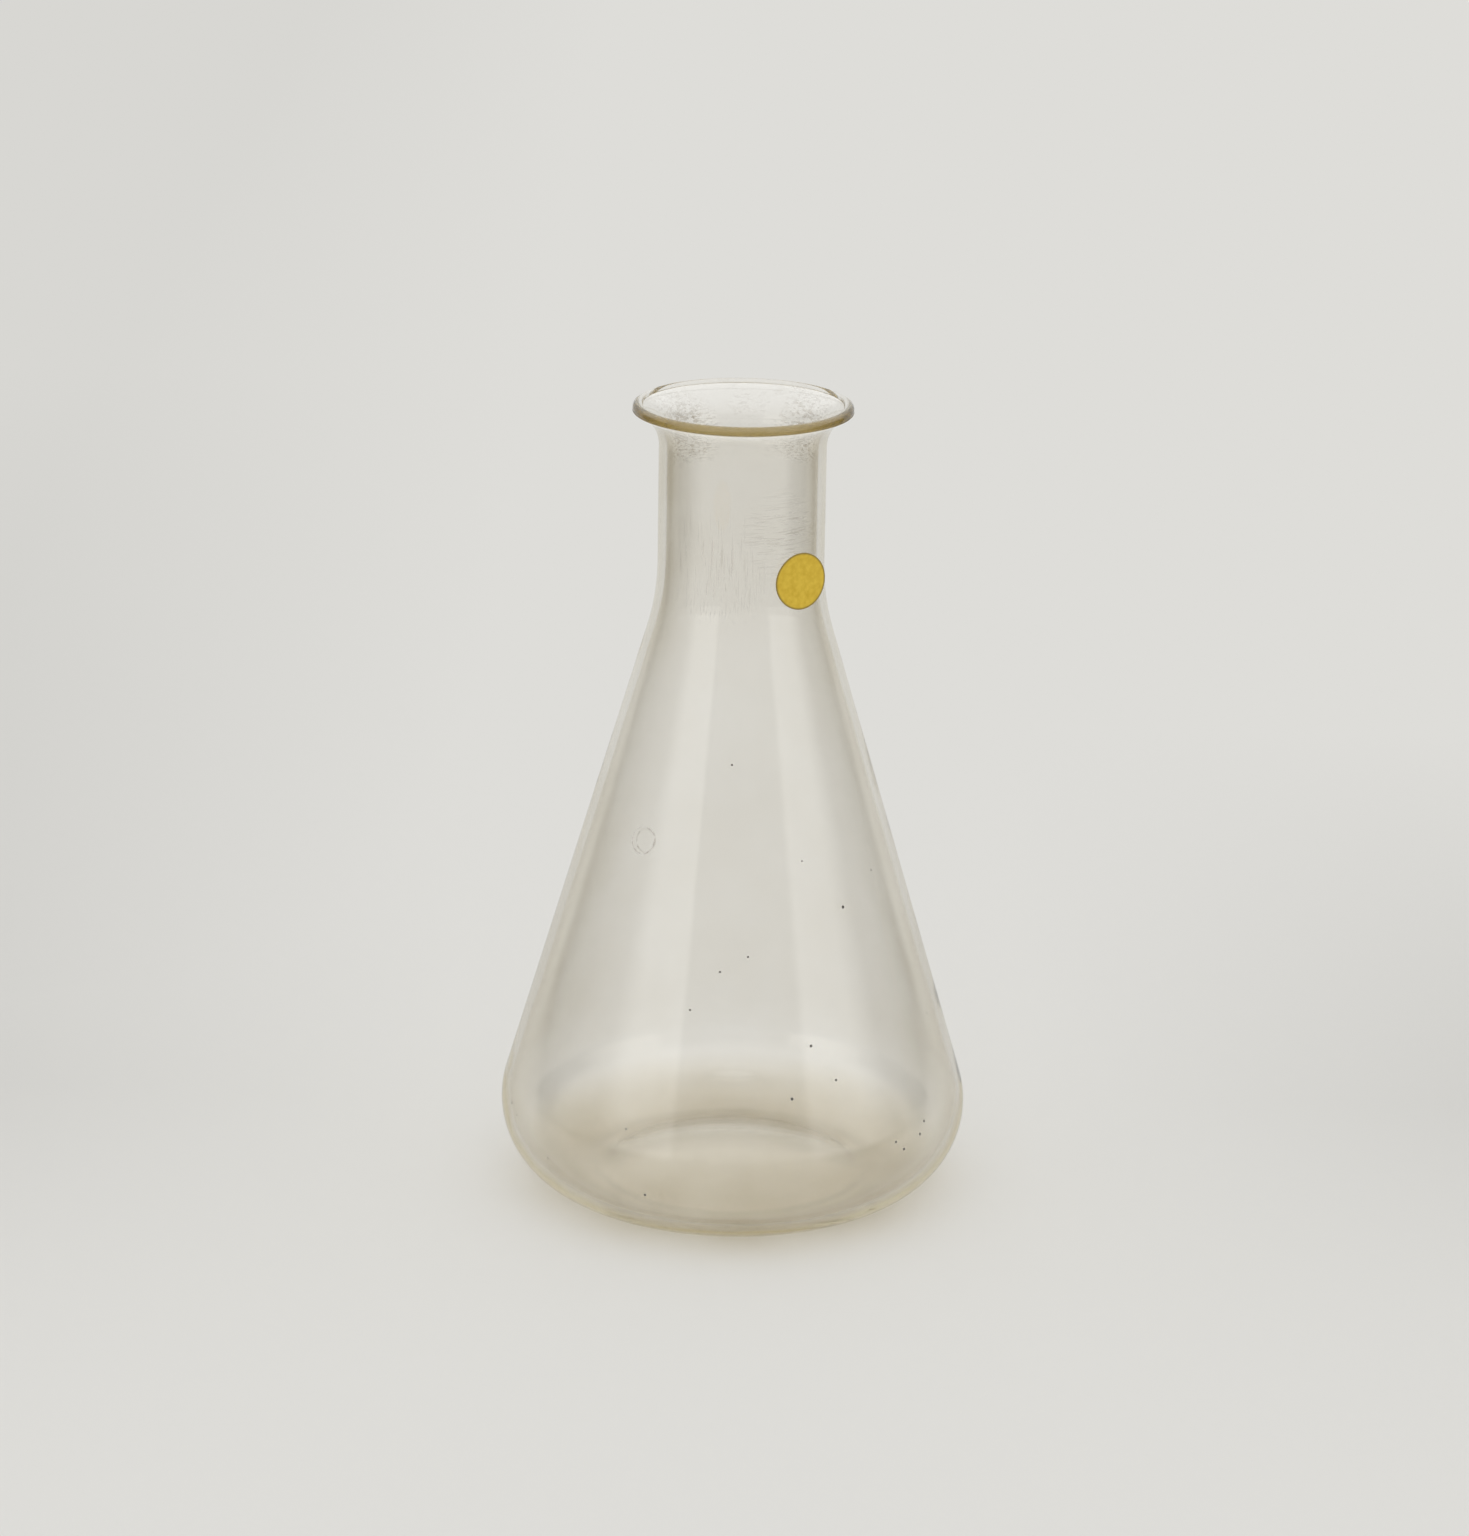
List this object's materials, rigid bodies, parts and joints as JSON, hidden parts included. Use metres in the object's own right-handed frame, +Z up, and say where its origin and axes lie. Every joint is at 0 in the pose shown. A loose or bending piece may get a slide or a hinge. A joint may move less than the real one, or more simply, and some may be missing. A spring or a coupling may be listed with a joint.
{
  "type": "erlenmeyer flask",
  "caption": "Conical laboratory flask of clear blown glass with a beaded rim, a pushed-up bottom and a round yellow paper dot on the neck.",
  "frame": {"origin": "on the flask's axis, at the level of the surface that it stands on", "axes": "+Z up along the flask's axis, -Y towards the front, +X to the right seen from the front"},
  "size_m": [0.105, 0.105, 0.181],
  "materials": {
    "glass": "clear blown glass with a faint olive tint, slightly dusty",
    "paper": "matte coloured paper with a gummed back"
  },
  "bodies": {
    "root": {"flask": "glass", "paper_dot": "paper"}
  },
  "joints": []
}
